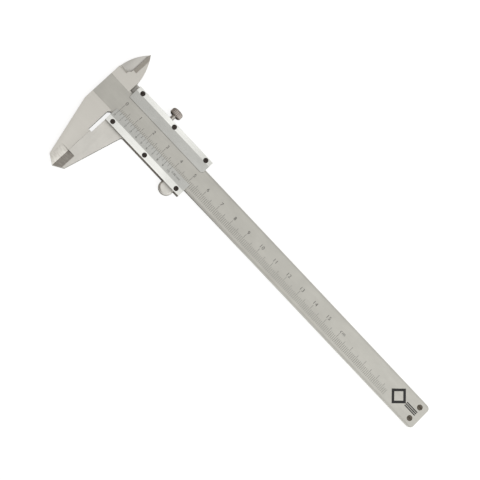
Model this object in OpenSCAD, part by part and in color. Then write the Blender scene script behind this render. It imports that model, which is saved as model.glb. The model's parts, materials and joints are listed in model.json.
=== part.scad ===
// Vernier caliper, 0-150 mm, shown closed: a one-piece beam with the fixed jaws, and a
// slider with two screwed front plates, a gib, a lock screw and a depth rod.
// The beam lies along X, the outside jaws point to -Y and the graduated face looks up.
// The slider's back and the end stop's back lie on Z = 0.

/* [Beam] */
// Length of the beam from the closed outside jaws to its tail
beam_len = 224; // [210:1:300]
// Width of the beam
beam_w = 15; // [13:0.5:20]
// Thickness of the beam
beam_t = 3.2; // [2.8:0.1:5]
// Width of the bevel along both long edges of the beam
edge_bevel_w = 1; // [0.4:0.1:1.4]
// Drop of that bevel below the graduated face
edge_bevel_h = 0.25; // [0.1:0.05:0.4]
// Radius of the two corners at the beam's tail
tail_r = 2.2; // [0.5:0.1:4]

/* [Outside jaws] */
// Depth of the outside jaws below the beam
jaw_reach = 40; // [34:1:55]
// Width of the fixed head, from its outer side to the measuring face
head_w = 13.9; // [13:0.1:18]
// Length of the head's straight side below the beam
head_shoulder = 4.3; // [2:0.1:8]
// Width of the slider's jaw where it leaves the frame
slider_jaw_w = 13.6; // [10:0.2:17]
// Radius of the fillet between the slider's jaw and its frame
jaw_fillet_r = 2; // [1:0.25:3]
// Width of each jaw where its tip starts to narrow
jaw_tip_w = 5.3; // [5.1:0.1:7]
// Height of the narrowing tip
jaw_tip_h = 3.4; // [2:0.1:5]
// Depth of the relief slot between the jaws, below the beam
slot_depth = 14; // [8:0.5:18]
// Distance from the measuring face back to the relieved side of the head
head_relief = 1; // [0.5:0.1:1.4]
// Length of the thinned facets above the tips
facet_len = 11.3; // [8:0.1:14]
// Width of the thinned facet on the fixed jaw
fixed_facet_w = 4.7; // [3:0.1:5]
// Width of the thinned facet on the slider's jaw
slider_facet_w = 4.2; // [3:0.1:5]
// Thickness left at the measuring edges of the outside jaws
jaw_edge_t = 1; // [0.6:0.1:1.6]

/* [Inside jaws] */
// Height of the inside jaws above the beam
nib_reach = 20.5; // [18:0.1:26]
// Distance from the outside measuring face to the inside measuring edge
nib_line = 7.5; // [6.6:0.1:8]
// Distance from the inside measuring edge to the shared tip
nib_tip = 0.3; // [0:0.1:0.6]
// Height above the beam where the outer side of the inside jaws starts to curve
nib_side = 4; // [3:0.1:5]
// Height above the beam where the front inside jaw is cut away to show the rear one
nib_cut = 5.9; // [5.4:0.1:7]
// Radius of the curved outer side
nib_outer_r = 27.5; // [24:0.5:60]
// Radius of the curved inner side
nib_inner_r = 30; // [22:0.5:60]
// Width of the bevel on the front (fixed) inside jaw
front_bevel_w = 2.25; // [1:0.05:3]
// Width of the bevel on the rear (slider) inside jaw
rear_bevel_w = 3.5; // [1.5:0.1:3.8]
// Depth of the front inside jaw's bevel at the measuring edge
front_bevel_h = 1.1; // [0.6:0.1:1.2]
// Depth of the rear inside jaw's bevel at the measuring edge
rear_bevel_h = 0.4; // [0.2:0.1:1.2]
// Length of the slope from the head's face down to the rear inside jaw
nib_ramp = 1.4; // [0.6:0.1:2]

/* [Slider] */
// Length of the slider frame
slider_len = 53.4; // [44:0.1:62]
// Distance from the measuring face to the slider frame
slider_start = 1.2; // [1:0.1:2]
// Height of the frame above the beam's upper edge
frame_over = 4.95; // [4.6:0.05:7]
// Height of the frame below the beam's lower edge
frame_under = 4.6; // [4.2:0.1:7]
// Thickness of the wall behind the beam
back_wall = 1.8; // [1.4:0.1:3]
// Distance from the middle of the thumb rest to the slider's right end
thumb_inset = 7.3; // [5:0.1:12]
// Radius of the thumb rest
thumb_r = 4.1; // [3:0.1:5]
// How far the thumb rest stands out below the frame
thumb_drop = 5.1; // [3.5:0.1:6]

/* [Front plates] */
// Thickness of the front plates
plate_t = 1.85; // [1.5:0.05:2.6]
// Distance from the beam's middle up to the edge of the upper plate
window_up = 4.8; // [4:0.05:5.5]
// Distance from the beam's middle down to the reading edge of the vernier plate
window_down = 3.8; // [3.4:0.1:5]
// Width of the flat land on the upper plate
upper_land = 2.7; // [2.5:0.1:3.6]
// Width of the flat land on the vernier plate
vernier_land = 3.5; // [3.2:0.1:5]
// Thickness of the upper plate at its edge
upper_edge_t = 0.45; // [0.3:0.05:0.8]
// Thickness of the vernier plate at its reading edge
vernier_edge_t = 0.25; // [0.15:0.05:0.6]
// Corner cut at the inner end of the upper plate
plate_corner = 1; // [0.5:0.1:2]

/* [Plate screws] */
// Diameter of the plate screws' heads
screw_head_d = 2.6; // [2.2:0.1:3]
// Diameter of the plate screws' threads
screw_d = 1.8; // [1.4:0.1:2]
// Distance from the middle of a screw to the outer edge of its plate
screw_edge = 1.75; // [1.6:0.05:2.2]
// Distance from the middle of an end screw to the end of its plate
screw_inset = 3.5; // [2.5:0.1:6]
// Height that a screw's head stands above its plate
screw_proud = 0.15; // [0:0.05:0.3]
// Depth of a screw's head
screw_head_h = 1.1; // [0.7:0.05:1.2]
// Length of a screw's thread below the plate
screw_grip = 2.6; // [1.5:0.1:3]

/* [Gib] */
// Thickness of the gib strip
gib_t = 1.2; // [0.8:0.1:1.3]
// Space for the gib between the beam and the frame
gib_room = 1.5; // [1.4:0.1:1.7]
// Distance from an end of the frame to its gib screw
gib_screw_inset = 10.4; // [8:0.1:14]
// Diameter of the gib screws
gib_screw_d = 2; // [1.6:0.1:2.4]
// Depth of the gib's dimples for the screws' points
gib_dimple = 0.3; // [0.2:0.05:0.4]

/* [Lock screw] */
// Distance from the middle plate screws back to the lock screw
lock_offset = 4.3; // [3:0.05:6]
// Diameter of the lock screw's thread
lock_d = 2.5; // [2:0.1:2.6]
// Pitch of the lock screw's thread
lock_pitch = 0.45; // [0.35:0.05:0.5]
// Diameter of the lock screw's head
lock_head_d = 6.6; // [5:0.1:6.8]
// Length of the lock screw's head
lock_head_h = 3.5; // [2.5:0.1:5]
// Length of the lock screw that shows between its head and the frame
lock_neck = 2.65; // [1.5:0.05:5]
// Number of grooves in the knurl
knurl_count = 24; // [16:1:32]
// Length of the loose pad under the lock screw
shoe_len = 1.4; // [1.2:0.1:1.8]

/* [Depth rod] */
// Width of the depth rod
rod_w = 4; // [3:0.1:5]
// Thickness of the depth rod
rod_t = 1.15; // [0.8:0.05:1.4]
// Distance from the slider's left end to the start of the depth rod
rod_start = 20; // [12:1:28]
// Diameter of the two rivets that hold the rod
rivet_d = 1.5; // [1.2:0.1:2]
// Distance between the two rivets
rivet_pitch = 8; // [5:0.5:10]

/* [End stop] */
// Length of the end stop plate
stop_len = 8.8; // [7:0.1:12]
// Diameter of the end stop's screws
stop_screw_d = 3; // [2.4:0.1:3.4]
// Distance between the end stop's screws
stop_screw_pitch = 7.7; // [7.4:0.1:8.6]

/* [Fits] */
// Gap between the closed measuring faces
closed_gap = 0.02; // [0.01:0.01:0.05]
// Running gap between the slider and the beam's back and edges
slide_gap = 0.04; // [0.02:0.01:0.08]
// Depth of the graduated face below the jaws and the plates' seats
face_gap = 0.06; // [0.04:0.01:0.1]
// Gap all round a screw or rivet in its hole
hole_gap = 0.02; // [0.01:0.01:0.05]
// Gap between the two layers of the inside jaws
layer_gap = 0.04; // [0.02:0.01:0.08]
// Gap all round the depth rod in its groove
rod_gap = 0.1; // [0.05:0.01:0.2]
// Turn of the lock screw, in degrees, from the pose shown to locked
lock_turn = 180; // [90:10:360]

/* [Hidden] */
$fn = 96;

// Levels from the back to the front
beam_z0 = back_wall + slide_gap;
beam_z1 = beam_z0 + beam_t;
seat_z = beam_z1 + face_gap;
plate_z = seat_z + plate_t;
layer_z = (beam_z0 + seat_z) / 2;
axis_z = beam_z0 + beam_t / 2;

// Places along the beam
slider_x0 = slider_start;
slider_x1 = slider_start + slider_len;
slider_mid_x = (slider_x0 + slider_x1) / 2;
lock_screw_x = slider_mid_x - lock_offset;
thumb_x = slider_x1 - thumb_inset;
rod_x0 = slider_x0 + rod_start;
stop_x0 = beam_len - stop_len;
nib_x = -nib_line;

// Places across the beam
edge_y = beam_w / 2;
band_y = edge_y - edge_bevel_w;
frame_y0 = -edge_y - frame_under;
frame_y1 = edge_y + frame_over;
tip_y = -edge_y - jaw_reach;
slot_y = -edge_y - slot_depth;
nib_tip_y = edge_y + nib_reach;
nib_cut_y = edge_y + nib_cut;
gib_y0 = edge_y + slide_gap;
gib_y1 = gib_y0 + gib_t;
gib_wall_y = edge_y + gib_room;
nib_root_y = edge_y + 0.4;
nib_corner = 1.2;

// Screw places and sizes
screw_x = [
    slider_x0 + screw_inset,
    slider_mid_x,
    slider_x1 - screw_inset
];
upper_screw_y = frame_y1 - screw_edge;
lower_screw_y = frame_y0 + screw_edge;
screw_floor_z = plate_z + screw_proud - screw_head_h;
screw_end_z = seat_z - screw_grip;
gib_screw_x = [slider_x0 + gib_screw_inset, slider_x1 - gib_screw_inset];
screw_slot_w = 0.45;
screw_slot_h = 0.45;
head_edge = 0.15;
gib_end = 1;
gib_point_d = 0.6 * gib_screw_d;
gib_screw_sink = 0.3;
stop_screw_x = stop_x0 + stop_len / 2;
stop_head_d = stop_screw_d + 1.2;
stop_seat_z = beam_z0 / 2;

// Lock screw and its pad, along the screw's axis
lock_travel = lock_pitch * lock_turn / 360;
shoe_y0 = gib_y1 + hole_gap + lock_travel;
shoe_y1 = shoe_y0 + shoe_len;
lock_tip_d = lock_d / 2;
lock_tip_h = shoe_len / 2;
lock_head_y0 = frame_y1 + lock_neck;
lock_head_y1 = lock_head_y0 + lock_head_h;
lock_bevel = 0.7;
knurl_depth = 0.25;

// Depth rod and its groove
rod_z0 = beam_z0 + 0.06;
rod_z1 = rod_z0 + rod_t;
groove_z1 = rod_z1 + rod_gap;
groove_w = rod_w + 2 * rod_gap;
rivet_x = [rod_x0 + 2 * rivet_d, rod_x0 + 2 * rivet_d + rivet_pitch];
rod_seat_x1 = rivet_x[1] + 2 * rivet_d;
rivet_head_r = rivet_d / 2 + 0.5;
rivet_sink = 0.05;
rivet_seat_z = back_wall / 3;

// The thumb rest's levels
thumb_bevel = 0.9;
thumb_z0 = 0.8;
thumb_z1 = seat_z - 0.4;

// The bounding box of the whole object, for the origin at its bottom centre
box_x = [-head_w, beam_len];
box_y = [tip_y, nib_tip_y];
origin = [(box_x[0] + box_x[1]) / 2, (box_y[0] + box_y[1]) / 2, 0];

// Centre of the circle of radius r through p and q, on the right of the way from p to q
function arc_centre(p, q, r) =
    let (m = (p + q) / 2, d = (q - p) / 2, h = sqrt(r * r - d * d))
    m + h * [d[1], -d[0]] / norm(d);

// Puts the origin at the bottom centre of the whole object
module place() {
    translate(-origin)
        children();
}

// A box given by its lowest and highest corners
module block(lo, hi) {
    translate(lo)
        cube(hi - lo);
}

// A Y-Z section run along X
module run_x(x0, x1) {
    translate([x0, 0, 0])
        rotate([90, 0, 90])
            linear_extrude(height = x1 - x0)
                children();
}

// An X-Z section run along Y
module run_y(y0, y1) {
    translate([0, y1, 0])
        rotate([90, 0, 0])
            linear_extrude(height = y1 - y0)
                children();
}

// An X-Y outline between two levels
module layer(z0, z1) {
    translate([0, 0, z0])
        linear_extrude(height = z1 - z0)
            children();
}

// A round shape about an axis along Z, from a (radius, Z) profile
module turned_z(x, y) {
    translate([x, y, 0])
        rotate_extrude()
            children();
}

// A round shape about an axis along Y at mid-thickness, from a (radius, Y) profile
module turned_y(x) {
    translate([x, 0, axis_z])
        rotate([-90, 0, 0])
            rotate_extrude()
                children();
}

// Cuts a facet that leaves level z at x_out and is drop below it at x_edge
module facet(x_out, x_edge, z, drop, y0, y1) {
    out = x_edge > x_out ? 1 : -1;
    up = drop > 0 ? 1 : -1;
    run_y(y0, y1)
        polygon([
            [x_out, z], [x_edge, z - drop], [x_edge + out, z - drop],
            [x_edge + out, z + up], [x_out, z + up]
        ]);
}

// Thins an outside jaw from the front and from the back towards its measuring edge
module jaw_facets(x_out, x_edge) {
    drop = (seat_z - beam_z0 - jaw_edge_t) / 2;
    facet(x_out, x_edge, seat_z, drop, tip_y - 1, tip_y + facet_len);
    facet(x_out, x_edge, beam_z0, -drop, tip_y - 1, tip_y + facet_len);
}

// The beam's section: two flat faces and four bevelled long edges
module beam_section() {
    z0 = beam_z0 + edge_bevel_h;
    z1 = beam_z1 - edge_bevel_h;
    polygon([
        [-band_y, beam_z0], [band_y, beam_z0], [edge_y, z0], [edge_y, z1],
        [band_y, beam_z1], [-band_y, beam_z1], [-edge_y, z1], [-edge_y, z0]
    ]);
}

// The beam's outline, with both corners of its tail rounded
module beam_outline() {
    corner = [beam_len - tail_r, edge_y - tail_r];
    translate([-head_w, -edge_y])
        square([corner[0] + head_w, beam_w]);
    translate([corner[0] - 1, -corner[1]])
        square([tail_r + 1, 2 * corner[1]]);
    for (side = [-1, 1])
        translate([corner[0], side * corner[1]])
            circle(r = tail_r);
}

// The fixed head and its outside jaw, up to where the inside jaw starts
module fixed_jaw_outline() {
    face_x = -closed_gap / 2;
    polygon([
        [-head_w, nib_root_y], [-head_w, -edge_y - head_shoulder],
        [-jaw_tip_w, tip_y + jaw_tip_h], [face_x, tip_y], [face_x, slot_y],
        [-head_relief, slot_y], [-head_relief, -edge_y - head_relief],
        [0, -edge_y], [0, 0], [-head_relief, 0], [-head_relief, nib_root_y]
    ]);
}

// Both inside jaws together, from y0 up to the shared tip
module nib_outline(y0) {
    tip = [nib_x + nib_tip, nib_tip_y];
    intersection() {
        translate(arc_centre([-head_w, edge_y + nib_side], tip, nib_outer_r))
            circle(r = nib_outer_r);
        translate([-head_w, y0])
            square([head_w - head_relief, nib_tip_y - y0]);
        union() {
            translate(arc_centre(tip, [-head_relief, nib_cut_y], nib_inner_r))
                circle(r = nib_inner_r);
            translate([-head_w, y0])
                square([head_w, nib_cut_y - y0]);
        }
    }
}

// The front inside jaw, cut away beside its measuring edge
module front_nib() {
    difference() {
        layer(layer_z + layer_gap / 2, seat_z)
            difference() {
                nib_outline(0);
                polygon([
                    [-head_w - 1, nib_cut_y], [nib_x - nib_corner, nib_cut_y],
                    [nib_x, nib_cut_y + nib_corner], [nib_x, nib_tip_y + 1],
                    [-head_w - 1, nib_tip_y + 1]
                ]);
            }
        facet(
            nib_x + front_bevel_w, nib_x, seat_z, front_bevel_h,
            nib_cut_y + 2 * nib_corner, nib_tip_y + 1
        );
        run_x(-head_w - 1, nib_x - nib_corner)
            polygon([
                [nib_cut_y, layer_z], [nib_cut_y + 1, layer_z], [nib_cut_y + 1, seat_z + 1],
                [nib_cut_y - nib_ramp, seat_z + 1], [nib_cut_y - nib_ramp, seat_z]
            ]);
    }
}

// The rear inside jaw, which reaches behind the head from the slider
module rear_nib() {
    root_y = nib_root_y + slide_gap;
    difference() {
        layer(beam_z0, layer_z - layer_gap / 2) {
            difference() {
                nib_outline(root_y);
                translate([nib_x, nib_cut_y])
                    square([head_w, nib_reach]);
            }
            translate([nib_x, root_y])
                square([slider_x0 - nib_x, frame_y1 - root_y]);
            translate([slider_x0 - 1, gib_wall_y])
                square([2, frame_y1 - gib_wall_y]);
        }
        facet(
            nib_x - rear_bevel_w, nib_x, layer_z - layer_gap / 2, rear_bevel_h,
            nib_cut_y - nib_corner, nib_tip_y + 1
        );
    }
}

// The slider's outside jaw, with the fillet where it leaves the frame
module slider_jaw_outline() {
    face_x = closed_gap / 2;
    tip_edge = [jaw_tip_w, tip_y + jaw_tip_h];
    root = [slider_jaw_w, frame_y0];
    way = (root - tip_edge) / norm(root - tip_edge);
    normal = [way[1], -way[0]];
    centre_y = frame_y0 - jaw_fillet_r;
    line_x = root[0] - jaw_fillet_r * way[0] / way[1];
    centre = [line_x + jaw_fillet_r / normal[0], centre_y];
    touch = centre - jaw_fillet_r * normal;
    polygon([
        [face_x, slot_y], [face_x, tip_y], tip_edge, touch, root,
        [slider_jaw_w, -edge_y - 2], [slider_x0, -edge_y - 2], [slider_x0, slot_y]
    ]);
    difference() {
        polygon([root - [1, 0], touch, centre, [centre[0], frame_y0], [centre[0], frame_y0 + 1],
            root + [-1, 1]]);
        translate(centre)
            circle(r = jaw_fillet_r);
    }
}

// The thumb rest: a disc with bevelled rims, half of it inside the frame's lower wall
module thumb_rest() {
    rim = thumb_r - thumb_bevel;
    mid = [thumb_z0 + thumb_bevel, thumb_z1 - thumb_bevel];
    turned_z(thumb_x, frame_y0 - thumb_drop + thumb_r)
        polygon([
            [0, thumb_z0], [rim, thumb_z0], [thumb_r, mid[0]], [thumb_r, mid[1]],
            [rim, thumb_z1], [0, thumb_z1]
        ]);
}

// The holes for one row of plate screws, through the plate and into the frame
module plate_screw_holes(y) {
    for (x = screw_x)
        turned_z(x, y)
            polygon([
                [0, screw_end_z - hole_gap], [screw_d / 2 + hole_gap, screw_end_z - hole_gap],
                [screw_d / 2 + hole_gap, screw_floor_z],
                [screw_head_d / 2 + hole_gap, screw_floor_z],
                [screw_head_d / 2 + hole_gap, plate_z + 1], [0, plate_z + 1]
            ]);
}

// A slotted cheese-head plate screw
module plate_screw(x, y, turn) {
    top = plate_z + screw_proud;
    head_r = screw_head_d / 2;
    place()
        difference() {
            turned_z(x, y)
                polygon([
                    [0, screw_end_z], [screw_d / 2, screw_end_z], [screw_d / 2, screw_floor_z],
                    [head_r, screw_floor_z], [head_r, top - head_edge],
                    [head_r - head_edge, top], [0, top]
                ]);
            translate([x, y, top - screw_slot_h])
                rotate([0, 0, turn])
                    translate([-head_r - 1, -screw_slot_w / 2, 0])
                        cube([screw_head_d + 2, screw_slot_w, screw_slot_h + 1]);
        }
}

// A slotted gib screw, with the point that sits in the gib's dimple
module gib_screw(x) {
    r = gib_screw_d / 2;
    point_r = gib_point_d / 2;
    y0 = gib_y1 - gib_dimple;
    y1 = gib_y1 + hole_gap;
    y2 = frame_y1 - gib_screw_sink;
    place()
        difference() {
            turned_y(x)
                polygon([[0, y0], [point_r, y0], [point_r, y1], [r, y1], [r, y2], [0, y2]]);
            block(
                [x - r - 1, y2 - screw_slot_h, axis_z - screw_slot_w / 2],
                [x + r + 1, y2 + 1, axis_z + screw_slot_w / 2]
            );
        }
}

// A rivet that holds the depth rod, its head sunk in the slider's back
module rod_rivet(x) {
    place()
        turned_z(x, 0)
            polygon([
                [0, rivet_sink], [rivet_head_r, rivet_sink], [rivet_head_r, rivet_seat_z],
                [rivet_d / 2, rivet_seat_z], [rivet_d / 2, rod_z1], [0, rod_z1]
            ]);
}

// A screw of the end stop, slotted at both ends, its front end flush with the graduated face
module end_stop_screw(side) {
    y = side * stop_screw_pitch / 2;
    head_r = stop_head_d / 2;
    front_z = beam_z1 - hole_gap;
    place()
        difference() {
            turned_z(stop_screw_x, y)
                polygon([
                    [0, rivet_sink], [head_r, rivet_sink], [head_r, stop_seat_z],
                    [stop_screw_d / 2, stop_seat_z], [stop_screw_d / 2, front_z], [0, front_z]
                ]);
            for (z = [rivet_sink - 1, front_z - screw_slot_h])
                block(
                    [stop_screw_x - head_r - 1, y - screw_slot_w / 2, z],
                    [stop_screw_x + head_r + 1, y + screw_slot_w / 2, z + 1 + screw_slot_h]
                );
        }
}

module main_beam() {
    color("gainsboro")
    place()
        difference() {
            union() {
                intersection() {
                    run_x(-head_w, beam_len) beam_section();
                    layer(beam_z0, beam_z1) beam_outline();
                }
                difference() {
                    union() {
                        layer(beam_z0, seat_z) fixed_jaw_outline();
                        front_nib();
                    }
                    block([-head_w - 1, -band_y, beam_z1], [1, band_y, seat_z + 1]);
                    jaw_facets(-fixed_facet_w, -closed_gap / 2);
                }
            }
            block([slider_x0, -groove_w / 2, beam_z0 - 1], [beam_len + 1, groove_w / 2, groove_z1]);
            for (side = [-1, 1])
                translate([stop_screw_x, side * stop_screw_pitch / 2, 0])
                    cylinder(d = stop_screw_d + 2 * hole_gap, h = seat_z);
        }
}

module end_stop_plate() {
    color("darkgray")
    place()
        difference() {
            layer(0, beam_z0)
                intersection() {
                    beam_outline();
                    translate([stop_x0, -band_y])
                        square([stop_len, 2 * band_y]);
                }
            for (side = [-1, 1])
                turned_z(stop_screw_x, side * stop_screw_pitch / 2)
                    polygon([
                        [0, -1], [stop_head_d / 2 + hole_gap, -1],
                        [stop_head_d / 2 + hole_gap, stop_seat_z],
                        [stop_screw_d / 2 + hole_gap, stop_seat_z],
                        [stop_screw_d / 2 + hole_gap, beam_z1], [0, beam_z1]
                    ]);
        }
}

module end_stop_screw_upper() {
    color("dimgray")
    end_stop_screw(1);
}

module end_stop_screw_lower() {
    color("dimgray")
    end_stop_screw(-1);
}

module slider_frame() {
    color("silver")
    place()
        difference() {
            union() {
                difference() {
                    block([slider_x0, frame_y0, 0], [slider_x1, frame_y1, seat_z]);
                    block(
                        [slider_x0 - 1, -edge_y - slide_gap, back_wall],
                        [slider_x1 + 1, gib_wall_y, seat_z + 1]
                    );
                }
                block([rod_x0, -rod_w / 2, back_wall - 1], [rod_seat_x1, rod_w / 2, rod_z0]);
                difference() {
                    layer(beam_z0, seat_z) slider_jaw_outline();
                    jaw_facets(slider_facet_w, closed_gap / 2);
                }
                rear_nib();
                thumb_rest();
            }
            plate_screw_holes(upper_screw_y);
            plate_screw_holes(lower_screw_y);
            for (x = gib_screw_x)
                turned_y(x)
                    translate([0, edge_y])
                        square([gib_screw_d / 2 + hole_gap, frame_over + 1]);
            turned_y(lock_screw_x)
                translate([0, edge_y])
                    square([lock_d / 2 + hole_gap, frame_over + 1]);
            for (x = rivet_x)
                turned_z(x, 0)
                    polygon([
                        [0, -1], [rivet_head_r + hole_gap, -1],
                        [rivet_head_r + hole_gap, rivet_seat_z],
                        [rivet_d / 2 + hole_gap, rivet_seat_z],
                        [rivet_d / 2 + hole_gap, rod_z1], [0, rod_z1]
                    ]);
        }
}

module upper_front_plate() {
    corner = [slider_x1 - plate_corner - 1, window_up - 1];
    color("whitesmoke")
    place()
        difference() {
            run_x(slider_x0, slider_x1)
                polygon([
                    [window_up, seat_z], [frame_y1, seat_z], [frame_y1, plate_z],
                    [frame_y1 - upper_land, plate_z], [window_up, seat_z + upper_edge_t]
                ]);
            layer(seat_z - 1, plate_z + 1)
                polygon([
                    corner, corner + [plate_corner + 2, 0],
                    corner + [plate_corner + 2, plate_corner + 2]
                ]);
            plate_screw_holes(upper_screw_y);
        }
}

module vernier_plate() {
    color("ghostwhite")
    place()
        difference() {
            run_x(slider_x0, slider_x1)
                polygon([
                    [-window_down, seat_z], [-window_down, seat_z + vernier_edge_t],
                    [frame_y0 + vernier_land, plate_z], [frame_y0, plate_z], [frame_y0, seat_z]
                ]);
            plate_screw_holes(lower_screw_y);
        }
}

module upper_plate_screw_1() {
    color("black")
    plate_screw(screw_x[0], upper_screw_y, 35);
}

module upper_plate_screw_2() {
    color("black")
    plate_screw(screw_x[1], upper_screw_y, 100);
}

module upper_plate_screw_3() {
    color("black")
    plate_screw(screw_x[2], upper_screw_y, 150);
}

module vernier_plate_screw_1() {
    color("black")
    plate_screw(screw_x[0], lower_screw_y, 70);
}

module vernier_plate_screw_2() {
    color("black")
    plate_screw(screw_x[1], lower_screw_y, 15);
}

module vernier_plate_screw_3() {
    color("black")
    plate_screw(screw_x[2], lower_screw_y, 120);
}

module gib_strip() {
    color("goldenrod")
    place()
        difference() {
            block(
                [slider_x0 + gib_end, gib_y0, back_wall + face_gap],
                [slider_x1 - gib_end, gib_y1, seat_z - face_gap]
            );
            for (x = gib_screw_x)
                turned_y(x)
                    translate([0, gib_y1 - gib_dimple])
                        square([gib_point_d / 2 + hole_gap, gib_dimple + 1]);
        }
}

module gib_screw_front() {
    color("slategray")
    gib_screw(gib_screw_x[0]);
}

module gib_screw_rear() {
    color("slategray")
    gib_screw(gib_screw_x[1]);
}

module lock_shoe() {
    shoe_r = lock_d / 2 - hole_gap;
    socket_r = lock_tip_d / 2 + 2 * hole_gap;
    socket_y = shoe_y1 - lock_tip_h - 2 * hole_gap;
    color("peru")
    place()
        turned_y(lock_screw_x)
            polygon([
                [0, shoe_y0], [shoe_r, shoe_y0], [shoe_r, shoe_y1], [socket_r, shoe_y1],
                [socket_r, socket_y], [0, socket_y]
            ]);
}

module lock_screw() {
    thread_y0 = shoe_y1 + 2 * hole_gap;
    tip_y0 = shoe_y1 - lock_tip_h;
    head_r = lock_head_d / 2;
    core_r = head_r - knurl_depth;
    low_y = lock_head_y0 + lock_bevel;
    high_y = lock_head_y1 - lock_bevel;
    color("lightgray")
    place() {
        turned_y(lock_screw_x)
            polygon([
                [0, tip_y0], [lock_tip_d / 2, tip_y0], [lock_tip_d / 2, thread_y0],
                [lock_d / 2, thread_y0], [lock_d / 2, lock_head_y0],
                [core_r - lock_bevel, lock_head_y0], [core_r, low_y], [core_r, high_y],
                [core_r - lock_bevel, lock_head_y1], [0, lock_head_y1]
            ]);
        translate([lock_screw_x, 0, axis_z])
            run_y(low_y, high_y)
                polygon([
                    for (i = [0 : 2 * knurl_count - 1])
                        (i % 2 == 0 ? head_r : core_r)
                            * [cos(180 * i / knurl_count), sin(180 * i / knurl_count)]
                ]);
    }
}

module depth_rod() {
    color("lightsteelblue")
    place()
        difference() {
            block([rod_x0, -rod_w / 2, rod_z0], [beam_len, rod_w / 2, rod_z1]);
            for (x = rivet_x)
                translate([x, 0, rod_z0 - 1])
                    cylinder(d = rivet_d + 2 * hole_gap, h = rod_t + 2);
        }
}

module depth_rod_rivet_front() {
    color("steelblue")
    rod_rivet(rivet_x[0]);
}

module depth_rod_rivet_rear() {
    color("steelblue")
    rod_rivet(rivet_x[1]);
}

main_beam();
end_stop_plate();
end_stop_screw_upper();
end_stop_screw_lower();
slider_frame();
upper_front_plate();
vernier_plate();
upper_plate_screw_1();
upper_plate_screw_2();
upper_plate_screw_3();
vernier_plate_screw_1();
vernier_plate_screw_2();
vernier_plate_screw_3();
gib_strip();
gib_screw_front();
gib_screw_rear();
lock_shoe();
lock_screw();
depth_rod();
depth_rod_rivet_front();
depth_rod_rivet_rear();
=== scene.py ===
"""The looks of a vernier caliper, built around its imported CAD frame.

Places come from the frame: the measuring plane, the beam's centreline and the faces' levels are read from the
record's mounts and the nodes' boxes. Lengths below are in millimetres and are multiplied by MM.
"""
import json
import math

import bmesh
import bpy
from mathutils import Matrix, Vector


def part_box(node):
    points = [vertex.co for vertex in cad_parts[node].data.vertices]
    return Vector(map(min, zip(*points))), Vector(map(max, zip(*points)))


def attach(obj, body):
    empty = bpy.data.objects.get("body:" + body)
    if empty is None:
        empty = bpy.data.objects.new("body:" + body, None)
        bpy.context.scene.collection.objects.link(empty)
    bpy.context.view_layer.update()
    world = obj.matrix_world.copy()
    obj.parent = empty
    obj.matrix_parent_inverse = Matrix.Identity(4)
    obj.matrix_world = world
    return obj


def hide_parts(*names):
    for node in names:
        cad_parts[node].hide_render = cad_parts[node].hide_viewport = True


MM = 0.001

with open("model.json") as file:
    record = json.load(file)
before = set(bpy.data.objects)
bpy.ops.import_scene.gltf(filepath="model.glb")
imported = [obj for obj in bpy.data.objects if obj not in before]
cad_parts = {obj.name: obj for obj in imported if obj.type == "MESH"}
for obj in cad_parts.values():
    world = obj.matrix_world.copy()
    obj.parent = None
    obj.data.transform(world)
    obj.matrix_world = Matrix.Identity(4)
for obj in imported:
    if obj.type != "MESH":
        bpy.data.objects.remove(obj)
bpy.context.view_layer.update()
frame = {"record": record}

# ---------------------------------------------------------------- places from the frame
mounts = {m["name"]: Vector(m["pos_m"]) for m in frame["record"]["mounts"]}
JAW_X = mounts["outside_jaws"].x  # the measuring plane of the closed outside jaws
AXIS_Y = mounts["depth_rod_end"].y  # the beam's centreline
JAW_FACE_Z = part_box("main_beam")[1].z  # the jaws' front faces
FACE_Z = JAW_FACE_Z - 0.06 * MM  # the graduated face, ground a little lower
PLATE_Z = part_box("vernier_plate")[1].z  # the front of the slider's plates
SLIDER_X0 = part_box("vernier_plate")[0].x  # the slider's end at the jaws
VERNIER_Y0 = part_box("vernier_plate")[0].y  # the vernier plate's outer side
THIN_EDGE_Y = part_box("vernier_plate")[1].y  # and its thin edge, beside the scale
THIN_EDGE_T = 0.25 * MM
VERNIER_LAND = 3.5 * MM  # the flat beside the vernier's bevel
HEAD_LENGTH = 3.5  # of the lock screw's knurled head
LOCK_HEAD_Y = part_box("lock_screw")[1].y - HEAD_LENGTH * MM
FACET_Y = AXIS_Y - 36.2 * MM  # the facets at the outside jaws' tips start here
INSIDE_X = mounts["inside_jaws"].x  # the inside jaws' shared edge
NIB_Y = AXIS_Y + 13.5 * MM  # the inside jaws' slopes are above this
SLOPED = 0.985  # a face whose normal's Z is below this slopes
BAND_HALF = 6.5 * MM  # half the width of the ground band across the head

# ---------------------------------------------------------------- camera and light
CAMERA_AIM = Vector((-12.45, 5.65, 3.55)) * MM
CAMERA_DISTANCE = 664.9 * MM
CAMERA_TILT = math.radians(9.85)
CAMERA_HEADING = math.radians(-19.92)
CAMERA_ROLL = math.radians(66.27)
CAMERA_LENS = 97.5
PLATE_LIGHT = Vector((-110, 110, 660)) * MM  # the slider's plates mirror this softbox to the camera
PLATE_AIM = Vector((-80, 8, 7)) * MM


def rotation(heading, tilt, roll):
    """A camera that looks down, tilted and then turned to its heading, and rolled about its own axis."""
    turn = Matrix.Rotation(heading, 3, "Z") @ Matrix.Rotation(tilt, 3, "X")
    return turn @ Matrix.Rotation(roll, 3, "Z")


def add_camera():
    data = bpy.data.cameras.new("camera")
    data.lens = CAMERA_LENS
    data.sensor_width = 36
    data.clip_start = 0.01
    camera = bpy.data.objects.new("camera", data)
    turn = rotation(CAMERA_HEADING, CAMERA_TILT, CAMERA_ROLL)
    place = CAMERA_AIM + turn @ Vector((0, 0, CAMERA_DISTANCE))
    camera.matrix_world = Matrix.Translation(place) @ turn.to_4x4()
    bpy.context.scene.collection.objects.link(camera)
    bpy.context.scene.camera = camera


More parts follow.
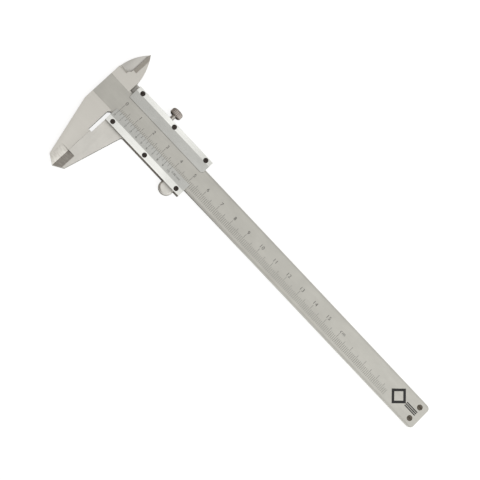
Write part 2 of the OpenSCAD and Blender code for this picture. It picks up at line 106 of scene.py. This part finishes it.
def add_softbox(name, place, aim, size, watts, colour=(1, 1, 1)):
    """A rectangular area light at place that faces aim."""
    data = bpy.data.lights.new(name, "AREA")
    data.shape = "RECTANGLE"
    data.size, data.size_y = size
    data.energy = watts
    data.color = colour
    light = bpy.data.objects.new(name, data)
    way = (Vector(aim) - Vector(place)).normalized()
    light.matrix_world = Matrix.Translation(place) @ way.to_track_quat("-Z", "Y").to_matrix().to_4x4()
    light.visible_camera = False
    bpy.context.scene.collection.objects.link(light)


# ---------------------------------------------------------------- node helpers
def new_material(name):
    material = bpy.data.materials.new(name)
    material.use_nodes = True
    return material, material.node_tree, material.node_tree.nodes["Principled BSDF"]


def node(tree, kind, **values):
    """A shader node, its properties and its inputs set by name."""
    made = tree.nodes.new(kind)
    for key, value in values.items():
        if hasattr(made, key):
            setattr(made, key, value)
        else:
            made.inputs[key.replace("_", " ")].default_value = value
    return made


def maths(tree, operation, a, b=None):
    made = tree.nodes.new("ShaderNodeMath")
    made.operation = operation
    for socket, value in zip(made.inputs, (a, b)):
        if value is None:
            continue
        if hasattr(value, "is_linked"):
            tree.links.new(value, socket)
        else:
            socket.default_value = value
    return made.outputs[0]


def spread(tree, value, low, high, to_low, to_high, shape="LINEAR"):
    """value from low…high to to_low…to_high, held inside."""
    made = tree.nodes.new("ShaderNodeMapRange")
    made.interpolation_type = shape
    tree.links.new(value, made.inputs["Value"])
    for key, number in (("From Min", low), ("From Max", high), ("To Min", to_low), ("To Max", to_high)):
        made.inputs[key].default_value = number
    return made.outputs["Result"]


def mixed(tree, factor, a, b):
    """Colour a where factor is 0 and colour b where it is 1."""
    made = tree.nodes.new("ShaderNodeMix")
    made.data_type = "RGBA"
    tree.links.new(factor, made.inputs["Factor"])
    for socket, value in ((made.inputs[6], a), (made.inputs[7], b)):
        if hasattr(value, "is_linked"):
            tree.links.new(value, socket)
        else:
            socket.default_value = (*value, 1)
    return made.outputs[2]


# colour of the shade painted into crevices and corners
PAINTED_SHADE_COLOUR = (0.06, 0.05, 0.04)
STREAK = (0.3, 0.27, 0.24)


def grain(tree, length, width, axis, detail=3.0):
    """Noise drawn out along one axis, like grinding lines of that length and width in mm."""
    sizes = [width, width, width]
    sizes[axis] = length
    place = tree.nodes.new("ShaderNodeTexCoord")
    scaled = tree.nodes.new("ShaderNodeMapping")
    scaled.inputs["Scale"].default_value = [1 / (size * MM) for size in sizes]
    tree.links.new(place.outputs["Object"], scaled.inputs["Vector"])
    noise = node(tree, "ShaderNodeTexNoise", Scale=1.0, Detail=detail, Roughness=0.6)
    tree.links.new(scaled.outputs["Vector"], noise.inputs["Vector"])
    return noise.outputs["Fac"]


def edge_mask(tree, width):
    """1 near the piece's edges and 0 away from them."""
    rounded = node(tree, "ShaderNodeBevel", samples=4, Radius=width)
    flat = tree.nodes.new("ShaderNodeNewGeometry")
    dot = tree.nodes.new("ShaderNodeVectorMath")
    dot.operation = "DOT_PRODUCT"
    tree.links.new(rounded.outputs["Normal"], dot.inputs[0])
    tree.links.new(flat.outputs["Normal"], dot.inputs[1])
    return spread(tree, dot.outputs["Value"], 0.999, 0.85, 0.0, 1.0)


def crevice_mask(tree, reach):
    """1 deep in a crevice and 0 in the open."""
    shade = node(tree, "ShaderNodeAmbientOcclusion", samples=8, Distance=reach)
    return spread(tree, shade.outputs["AO"], 0.8, 0.25, 0.0, 1.0)


def axes_of(tree, source):
    """The X, Y and Z of a vector output."""
    split = tree.nodes.new("ShaderNodeSeparateXYZ")
    tree.links.new(source, split.inputs["Vector"])
    return split.outputs


def streaked(tree, shade):
    """The knife facets at the outside jaws' tips, ground across in coarse streaks."""
    place = tree.nodes.new("ShaderNodeTexCoord")
    flat = tree.nodes.new("ShaderNodeNewGeometry")
    streaks = spread(tree, grain(tree, 18, 0.55, 0, 2.0), 0.36, 0.64, 0.0, 0.34)
    sloped = maths(tree, "LESS_THAN", axes_of(tree, flat.outputs["True Normal"])["Z"], SLOPED)
    at_tip = maths(tree, "LESS_THAN", axes_of(tree, place.outputs["Object"])["Y"], FACET_Y)
    where = maths(tree, "MULTIPLY", sloped, at_tip)
    return mixed(tree, maths(tree, "MULTIPLY", streaks, where), shade, STREAK)


def steel(name, colour, roughness, axis=0, line=0.12, depth=0.004, edge_rubbing_and_highlight=0.3, crevice_shade=0.7, reach=1.2,
          mottle=0.05, region=None, facets=False):
    """Satin metal with grinding lines along an axis, faint mottling, shade painted into its crevices, and
    edges painted brighter, partly as rubbing and partly as a painted highlight.

    line, depth and reach are in mm: the grinding lines' width and depth, and how far from a corner the
    painted shade reaches. region is (mask function, colour, roughness) for a part that is finished another
    way or, on the rear inside jaw, painted darker as shade. facets adds coarse streaks to the knife facets."""
    material, tree, shader = new_material(name)
    fine = grain(tree, 14, line, axis)
    coarse = grain(tree, 60, 0.7, axis, 2.0)
    cloud = grain(tree, 9, 6, axis, 4.0)
    darker = tuple(c * (1 - 1.6 * mottle) for c in colour)
    lighter = tuple(min(1, c * (1 + 1.6 * mottle)) for c in colour)
    tone = maths(tree, "ADD", maths(tree, "MULTIPLY", fine, 0.4), maths(tree, "MULTIPLY", cloud, 0.6))
    shade = mixed(tree, spread(tree, tone, 0.3, 0.7, 0, 1), darker, lighter)
    rough = spread(tree, maths(tree, "ADD", fine, coarse), 0.6, 1.4, roughness * 0.85, roughness * 1.2)
    if region:
        mask, other, other_rough = region
        inside = mask(tree)
        shade = mixed(tree, inside, shade, other)
        gap = maths(tree, "MULTIPLY", inside, other_rough - roughness)
        rough = maths(tree, "ADD", rough, gap)
    if facets:
        shade = streaked(tree, shade)
    # painted shade: darker in crevices and corners, wherever ambient occlusion finds them
    if crevice_shade:
        crevice = maths(tree, "MULTIPLY", crevice_mask(tree, reach * MM), crevice_shade)
        shade = mixed(tree, crevice, shade, PAINTED_SHADE_COLOUR)
    # edges painted brighter: partly rubbing, partly a painted highlight
    if edge_rubbing_and_highlight:
        edges = maths(tree, "MULTIPLY", edge_mask(tree, 0.25 * MM), edge_rubbing_and_highlight)
        bright = tuple(min(1, c * 1.35) for c in colour)
        shade = mixed(tree, edges, shade, bright)
    tree.links.new(shade, shader.inputs["Base Color"])
    tree.links.new(rough, shader.inputs["Roughness"])
    shader.inputs["Metallic"].default_value = 1.0
    bump = node(tree, "ShaderNodeBump", Strength=1.0, Distance=depth * MM)
    tree.links.new(maths(tree, "ADD", fine, maths(tree, "MULTIPLY", coarse, 0.5)), bump.inputs["Height"])
    tree.links.new(bump.outputs["Normal"], shader.inputs["Normal"])
    return material


def jaw_region(tree):
    """1 on the fixed head's jaws, off the ground band that crosses it, and 0 on the beam."""
    place = axes_of(tree, tree.nodes.new("ShaderNodeTexCoord").outputs["Object"])
    across = maths(tree, "ABSOLUTE", maths(tree, "SUBTRACT", place["Y"], AXIS_Y))
    off_band = maths(tree, "GREATER_THAN", across, BAND_HALF)
    on_head = maths(tree, "LESS_THAN", place["X"], JAW_X)
    return maths(tree, "MULTIPLY", off_band, on_head)


def nib_region(tree):
    """1 on the ground slope of the rear inside jaw, which is painted darker there as shade."""
    place = axes_of(tree, tree.nodes.new("ShaderNodeTexCoord").outputs["Object"])
    above = maths(tree, "GREATER_THAN", place["Y"], NIB_Y)
    beyond = maths(tree, "LESS_THAN", place["X"], INSIDE_X)
    return maths(tree, "MULTIPLY", above, beyond)


def stem_region(tree):
    """1 on the lock screw's stem and 0 on its head."""
    place = axes_of(tree, tree.nodes.new("ShaderNodeTexCoord").outputs["Object"])
    return maths(tree, "LESS_THAN", place["Y"], LOCK_HEAD_Y)


def ink(name, colour):
    """Fill of an engraved mark, a little uneven."""
    material, tree, shader = new_material(name)
    cloud = grain(tree, 0.3, 0.3, 0, 4.0)
    lighter = tuple(c * 1.6 + 0.02 for c in colour)
    shade = mixed(tree, spread(tree, cloud, 0.35, 0.75, 0, 1), colour, lighter)
    tree.links.new(shade, shader.inputs["Base Color"])
    tree.links.new(spread(tree, cloud, 0.3, 0.7, 0.45, 0.7), shader.inputs["Roughness"])
    return material


# ---------------------------------------------------------------- the CAD nodes
def finish_node(name, material, bevel=0.12, clamp=True):
    """Gives a CAD node its material and rounds its edges by bevel mm."""
    piece = bpy.data.objects[name]
    piece.data.materials.clear()
    piece.data.materials.append(material)
    weld = piece.modifiers.new("weld", "WELD")
    weld.merge_threshold = 0.002 * MM
    flats = piece.modifiers.new("flats", "DECIMATE")
    flats.decimate_type = "DISSOLVE"
    flats.angle_limit = math.radians(0.5)
    rounding = piece.modifiers.new("rounding", "BEVEL")
    rounding.width = bevel * MM
    rounding.segments = 2
    rounding.limit_method = "ANGLE"
    rounding.angle_limit = math.radians(14)
    rounding.use_clamp_overlap = clamp
    shading = piece.modifiers.new("shading", "WEIGHTED_NORMAL")
    shading.mode = "FACE_AREA"
    shading.weight = 100
    shading.thresh = 1.0
    for face in piece.data.polygons:
        face.use_smooth = True
    return piece


# ---------------------------------------------------------------- graduations
PROUD = 0.008 * MM  # how far marks stand out of their face
SUNK = 0.02 * MM  # and how far they reach into it
DIGIT_SHARE = 0.73  # a digit's height as a share of the font's size
SCALE_ZERO = 2.75  # the main scale's zero line, from the measuring plane
SCALE_END = 198
LINE_W = 0.15
VERNIER_PARTS = 20
VERNIER_SPAN = 39  # what the vernier's parts cover on the main scale


def link(name, mesh, body, material):
    piece = bpy.data.objects.new(name, mesh)
    mesh.materials.append(material)
    bpy.context.scene.collection.objects.link(piece)
    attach(piece, body)
    return piece


def bars(name, spans, plane, body, material):
    """One mesh of thin bars, each (x0, x1, y0, y1) in mm on a plane given by its matrix."""
    made = bmesh.new()
    for x0, x1, y0, y1 in spans:
        centre = Vector(((x0 + x1) / 2 * MM, (y0 + y1) / 2 * MM, (PROUD - SUNK) / 2))
        size = Vector(((x1 - x0) * MM, (y1 - y0) * MM, PROUD + SUNK))
        fit = plane @ Matrix.Translation(centre) @ Matrix.Diagonal((*size, 1))
        bmesh.ops.create_cube(made, size=1, matrix=fit)
    mesh = bpy.data.meshes.new(name)
    made.to_mesh(mesh)
    made.free()
    return link(name, mesh, body, material)


def numerals(name, labels, plane, body, material, spacing=1.0):
    """One mesh of labels, each (text, x, y, height) in mm on a plane, centred on their places."""
    made = bmesh.new()
    for text, x, y, height in labels:
        curve = bpy.data.curves.new("label", "FONT")
        curve.body = text
        curve.align_x = "CENTER"
        curve.align_y = "CENTER"
        curve.size = height * MM / DIGIT_SHARE
        curve.space_character = spacing
        curve.extrude = (PROUD + SUNK) / 2
        curve.resolution_u = 3
        holder = bpy.data.objects.new("label", curve)
        bpy.context.scene.collection.objects.link(holder)
        bpy.context.view_layer.update()
        depsgraph = bpy.context.evaluated_depsgraph_get()
        mesh = bpy.data.meshes.new_from_object(holder.evaluated_get(depsgraph))
        mesh.transform(plane @ Matrix.Translation((x * MM, y * MM, (PROUD - SUNK) / 2)))
        made.from_mesh(mesh)
        bpy.data.objects.remove(holder)
        bpy.data.meshes.remove(mesh)
    bmesh.ops.remove_doubles(made, verts=made.verts, dist=1e-7)
    mesh = bpy.data.meshes.new(name)
    made.to_mesh(mesh)
    made.free()
    return link(name, mesh, body, material)


beam_plane = Matrix.Translation((JAW_X, AXIS_Y, FACE_Z))


def main_scale():
    """The millimetre marks: the longest at each centimetre and the next longest at each half."""
    spans = []
    for mark in range(SCALE_END + 1):
        inner = 0.05 if mark % 10 == 0 else -0.85 if mark % 5 == 0 else -2.2
        x = SCALE_ZERO + mark
        spans.append((x - LINE_W / 2, x + LINE_W / 2, -5.5, inner))
    return spans


def vernier_plane():
    """The vernier plate's bevel: X along the beam, Y from the thin edge up the slope."""
    run = THIN_EDGE_Y - (VERNIER_Y0 + VERNIER_LAND)
    rise = PLATE_Z - JAW_FACE_Z - THIN_EDGE_T
    turn = Matrix.Rotation(-math.atan2(rise, run), 4, "X")
    return Matrix.Translation((JAW_X, THIN_EDGE_Y, JAW_FACE_Z + THIN_EDGE_T)) @ turn


def vernier_scale():
    """The vernier's marks, every second one a little longer."""
    spans = []
    for mark in range(VERNIER_PARTS + 1):
        x = SCALE_ZERO + mark * VERNIER_SPAN / VERNIER_PARTS
        spans.append((x - LINE_W / 2, x + LINE_W / 2, -2.3 if mark % 2 == 0 else -1.8, -0.05))
    return spans


# ---------------------------------------------------------------- the lock screw
KNURLS = 24
KNURL_DEPTH = 0.22
THREAD_PITCH = 0.45
THREAD_DEPTH = 0.14
THREAD_STEPS = 8  # rings in one pitch
STEM_R = 1.25
STEM_SIDES = 48
POINT_R = 0.625
POINT_H = 0.74
SMALL_BEVEL = 0.15  # at the point and where the thread starts
HEAD_BEVEL = 0.62  # how far the head narrows at both ends
HEAD_BEVEL_H = 0.7
HEAD_LIP = 0.12
HEAD_RINGS = 12
DISH = 0.35  # how deep the head's end is dished


def turned(made, centre, profile, steps, cut):
    """Adds a closed turned shape along Y. cut(angle, y) is taken off each radius."""
    rings = []
    for y, radius in profile:
        ring = []
        for step in range(steps):
            angle = 2 * math.pi * step / steps
            r = (radius - cut(angle, y)) * MM
            spot = Vector((r * math.cos(angle), y * MM, r * math.sin(angle)))
            ring.append(made.verts.new(centre + spot))
        rings.append(ring)
    for low, high in zip(rings, rings[1:]):
        for a in range(steps):
            b = (a + 1) % steps
            made.faces.new((low[a], low[b], high[b], high[a]))
    made.faces.new(rings[0][::-1])
    made.faces.new(rings[-1])


def wave(turns):
    """A rounded triangle wave from 0 to 1 that repeats each turn."""
    return 0.5 - 0.5 * math.cos(2 * math.pi * turns)


def held(value):
    """value held between 0 and 1."""
    return min(1, max(0, value))


def lock_screw(material):
    """The lock screw in finer form: a threaded stem, and a knurled head with a dished face."""
    low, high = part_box("lock_screw")
    centre = Vector(((low.x + high.x) / 2, low.y, (low.z + high.z) / 2))
    length = (high.y - low.y) / MM
    head_r = (high.x - low.x) / 2 / MM
    head_y = length - HEAD_LENGTH
    end_r = head_r - HEAD_BEVEL

    def thread(angle, y):
        fade = min(held((y - POINT_H) / 0.3), held((head_y - 0.4 - y) / 0.3))
        return THREAD_DEPTH * fade * wave(y / THREAD_PITCH - angle / (2 * math.pi))

    def knurl(angle, y):
        inside = min(y - head_y, length - y)
        return KNURL_DEPTH * held((inside - 0.25) / 0.4) * wave(KNURLS * angle / (2 * math.pi))

    made = bmesh.new()
    steps = round((head_y - POINT_H) / THREAD_PITCH * THREAD_STEPS)
    stem = [(0, POINT_R - SMALL_BEVEL), (SMALL_BEVEL, POINT_R), (POINT_H, POINT_R)]
    stem += [(POINT_H + 0.01, STEM_R - SMALL_BEVEL)]
    stem += [(POINT_H + SMALL_BEVEL + (head_y - POINT_H) * k / steps, STEM_R) for k in range(steps)]
    stem += [(head_y + 0.3, STEM_R)]
    turned(made, centre, stem, STEM_SIDES, thread)
    rise = [0.25 + (HEAD_LENGTH - 0.5) * k / HEAD_RINGS for k in range(HEAD_RINGS + 1)]
    head = [(head_y, STEM_R - 0.05), (head_y, head_r - 0.8), (head_y + HEAD_LIP, end_r)]
    for y in rise:
        to_end = min(y, HEAD_LENGTH - y)
        head.append((head_y + y, head_r - HEAD_BEVEL * max(0, 1 - to_end / HEAD_BEVEL_H)))
    head += [(length - HEAD_LIP, end_r), (length, head_r - 0.8), (length, head_r - 1.1)]
    head += [(length - 0.3, head_r - 1.5), (length - DISH, 0.2)]
    turned(made, centre, head, KNURLS * 8, knurl)
    bmesh.ops.recalc_face_normals(made, faces=made.faces)
    mesh = bpy.data.meshes.new("lock_screw_fine")
    made.to_mesh(mesh)
    made.free()
    piece = link("lock_screw_fine", mesh, "lock_knob", material)
    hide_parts("lock_screw")
    for face in mesh.polygons:
        face.use_smooth = len(face.vertices) == 4
    return piece


# ---------------------------------------------------------------- the stage
def add_floor():
    """A plain white floor. What the metal mirrors of it is painted dark beside the slider, a painted shade
    seen only in reflections, and glows brighter away from the slider.
    """
    bpy.ops.mesh.primitive_plane_add(size=6, location=(0, 0, -0.2 * MM))
    floor = bpy.context.active_object
    floor.name = "floor"
    material, tree, shader = new_material("floor")
    place = tree.nodes.new("ShaderNodeTexCoord")
    seen = tree.nodes.new("ShaderNodeLightPath")
    apart = node(tree, "ShaderNodeVectorMath", operation="DISTANCE")
    tree.links.new(place.outputs["Object"], apart.inputs[0])
    apart.inputs[1].default_value = (SLIDER_X0 + 28 * MM, VERNIER_Y0, 0)
    # painted shade: the floor the metal mirrors is dark near the slider and glows only away from it
    away = spread(tree, apart.outputs["Value"], 26 * MM, 75 * MM, 0.0, 1.0)
    mirrored = mixed(tree, away, (0.28, 0.255, 0.23), (0.85, 0.85, 0.83))
    colour = mixed(tree, seen.outputs["Is Camera Ray"], mirrored, (0.35, 0.35, 0.35))
    tree.links.new(colour, shader.inputs["Base Color"])
    shader.inputs["Roughness"].default_value = 0.9
    shader.inputs["Emission Color"].default_value = (1, 1, 1, 1)
    seen_glow = spread(tree, seen.outputs["Is Camera Ray"], 0, 1, 0.0, 0.84)
    mirrored_glow = maths(tree, "MULTIPLY", away, 0.4)
    unseen = maths(tree, "SUBTRACT", 1, seen.outputs["Is Camera Ray"])
    glow = maths(tree, "ADD", maths(tree, "MULTIPLY", mirrored_glow, unseen), seen_glow)
    tree.links.new(glow, shader.inputs["Emission Strength"])
    floor.data.materials.append(material)


def add_world():
    """A soft studio: bright above and towards the tail, darker beyond the jaws, white to the camera."""
    world = bpy.data.worlds.new("studio")
    bpy.context.scene.world = world
    world.use_nodes = True
    tree = world.node_tree
    place = tree.nodes.new("ShaderNodeTexCoord")
    split = tree.nodes.new("ShaderNodeSeparateXYZ")
    tree.links.new(place.outputs["Generated"], split.inputs["Vector"])
    along = spread(tree, split.outputs["X"], -0.62, 0.42, 0.0, 1.0, "SMOOTHSTEP")
    across = maths(tree, "ABSOLUTE", maths(tree, "SUBTRACT", split.outputs["Y"], 0.15))
    fall = spread(tree, across, 0.15, 0.8, 1.0, 0.7)
    shade = mixed(tree, along, (0.20, 0.18, 0.16), (1.20, 1.20, 1.17))
    low = spread(tree, split.outputs["X"], -0.95, -0.62, 0.5, 0.0)
    shade = mixed(tree, low, shade, (0.9, 0.86, 0.8))
    seen = tree.nodes.new("ShaderNodeLightPath")
    colour = mixed(tree, seen.outputs["Is Camera Ray"], shade, (1, 1, 1))
    power = maths(tree, "MAXIMUM", fall, seen.outputs["Is Camera Ray"])
    tree.links.new(colour, tree.nodes["Background"].inputs["Color"])
    tree.links.new(power, tree.nodes["Background"].inputs["Strength"])


add_camera()
add_world()
add_floor()
add_softbox("plate_softbox", PLATE_LIGHT, PLATE_AIM, (84 * MM, 190 * MM), 0.030)
bpy.context.scene.view_settings.view_transform = "Standard"

beam_steel = steel("ground_beam_steel", (0.56, 0.55, 0.515), 0.34,
                   region=(jaw_region, (0.78, 0.76, 0.72), 0.42), facets=True)
# the frame's deep pockets get a darker, wider painted shade
frame_steel = steel("satin_frame_steel", (0.80, 0.785, 0.75), 0.40, axis=1, crevice_shade=0.9, reach=5.0,
                    # the rear inside jaw's slope is painted darker, a painted shade
                    region=(nib_region, (0.64, 0.625, 0.60), 0.42), facets=True)
plate_steel = steel("fine_plate_steel", (0.73, 0.735, 0.715), 0.17, line=0.08, depth=0.001)
black_steel = steel("blackened_steel", (0.06, 0.051, 0.047), 0.38, edge_rubbing_and_highlight=0.25)
dark_steel = steel("browned_steel", (0.135, 0.118, 0.098), 0.42, edge_rubbing_and_highlight=0.5)
brass = steel("machined_brass", (0.75, 0.56, 0.26), 0.33)
chrome = steel("knurled_chrome", (0.44, 0.40, 0.375), 0.27, axis=1,
               region=(stem_region, (0.78, 0.76, 0.73), 0.35))

FINISHES = {
    "main_beam": beam_steel,
    "slider_frame": frame_steel, "end_stop_plate": frame_steel, "depth_rod": frame_steel,
    "upper_front_plate": plate_steel, "vernier_plate": plate_steel, "gib_strip": brass, "lock_shoe": brass,
    "end_stop_screw_upper": dark_steel, "end_stop_screw_lower": dark_steel,
    "gib_screw_front": dark_steel, "gib_screw_rear": dark_steel,
    "depth_rod_rivet_front": dark_steel, "depth_rod_rivet_rear": dark_steel,
}
for row in ("upper", "vernier"):
    for number in (1, 2, 3):
        FINISHES[f"{row}_plate_screw_{number}"] = black_steel
# edges rounded by their full width, in mm, even beside short edges
WIDE_EDGES = {"main_beam": 0.05, "slider_frame": 0.10, "end_stop_plate": 0.12, "upper_front_plate": 0.07}
for name, material in FINISHES.items():
    small = 0.04 if "screw" in name or "rivet" in name else 0.16
    finish_node(name, material, WIDE_EDGES.get(name, small), name not in WIDE_EDGES)

lock_screw(chrome)

mark_ink = ink("mark_ink", (0.06, 0.058, 0.055))
bars("main_scale_lines", main_scale(), beam_plane, "beam", mark_ink)
labels = [(str(number), SCALE_ZERO + 0.2 + 10 * number, 1.42, 2.0) for number in range(16)]
labels.append(("cm", SCALE_ZERO + 161.2, 1.3, 2.0))
numerals("main_scale_numerals", labels, beam_plane, "beam", mark_ink, 1.15)
bars("vernier_lines", vernier_scale(), vernier_plane(), "slider", mark_ink)
labels = [(str(number), SCALE_ZERO + number * VERNIER_SPAN / 10, -3.45, 1.35) for number in range(11)]
labels.append(("0.05 mm", SCALE_ZERO + 43.6, -2.2, 1.2))
numerals("vernier_numerals", labels, vernier_plane(), "slider", mark_ink)

# plain marks near the tail
diamond = beam_plane @ Matrix.Translation((207.5 * MM, 0, 0)) @ Matrix.Rotation(math.radians(45), 4, "Z")
sides = [(-3.8, 3.8, 2.4, 3.8), (-3.8, 3.8, -3.8, -2.4), (-3.8, -2.4, -2.4, 2.4), (2.4, 3.8, -2.4, 2.4)]
black_ink = ink("black_ink", (0.012, 0.012, 0.012))
bars("tail_mark", sides, diamond, "beam", black_ink)

strip = [(212.9, 220.6, -1.25, -0.65), (212.9, 220.6, -0.3, 0.3), (212.9, 220.6, 0.65, 1.25)]
bars("tail_strip", strip, beam_plane, "beam", black_ink)
